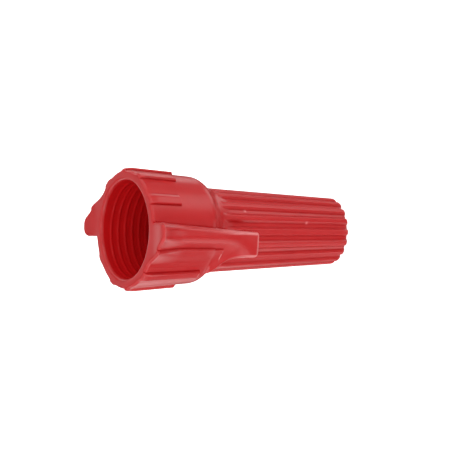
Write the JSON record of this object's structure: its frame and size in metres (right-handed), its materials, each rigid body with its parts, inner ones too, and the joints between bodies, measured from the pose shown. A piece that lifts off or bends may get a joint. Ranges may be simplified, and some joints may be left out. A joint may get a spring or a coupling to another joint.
{
  "type": "twist wire connector",
  "caption": "Red winged twist-on connector for electrical wires, with a ribbed tapered barrel, a threaded open mouth and a tapered square-wire spring inside.",
  "frame": {"origin": "centre of the closed nose's end face", "axes": "+Z along the connector's axis from the closed nose to the open mouth, +X along one wing, +Y square to both"},
  "size_m": [0.022, 0.0162, 0.032],
  "materials": {
    "red_plastic": "moulded, semi-gloss",
    "plated_steel": "bright zinc plate"
  },
  "bodies": {
    "root": {"shell": "red_plastic", "spring": "plated_steel"}
  },
  "joints": []
}
